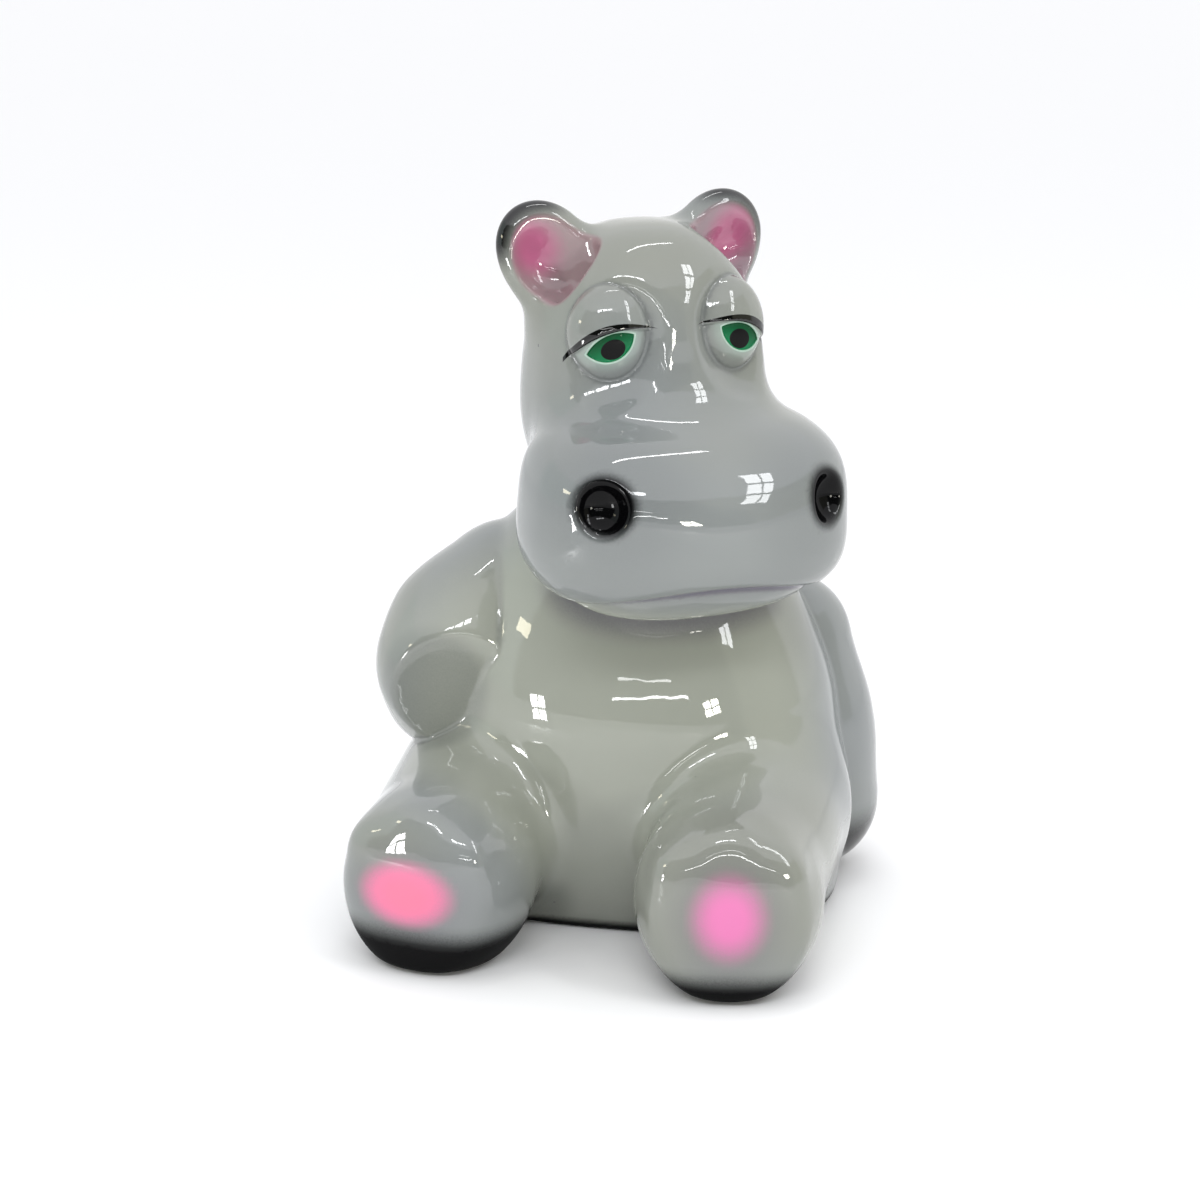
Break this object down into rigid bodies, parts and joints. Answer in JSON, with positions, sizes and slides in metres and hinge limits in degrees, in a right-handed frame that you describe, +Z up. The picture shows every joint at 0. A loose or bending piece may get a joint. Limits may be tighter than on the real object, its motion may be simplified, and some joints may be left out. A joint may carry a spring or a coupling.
{
  "type": "hippo figurine",
  "caption": "Seated hippo figurine in glazed ceramic, head turned and drowsy, a paw on its hip and its feet stretched out forwards.",
  "frame": {"origin": "middle of the figure's outline seen from above, on the floor it sits on", "axes": "+Z up, -Y towards the soles of its feet, +X towards the figure's own left side"},
  "size_m": [0.1908, 0.1964, 0.2747],
  "materials": {
    "grey_glaze": "gloss"
  },
  "bodies": {
    "root": {"hippo_figurine": "grey_glaze"}
  },
  "joints": []
}
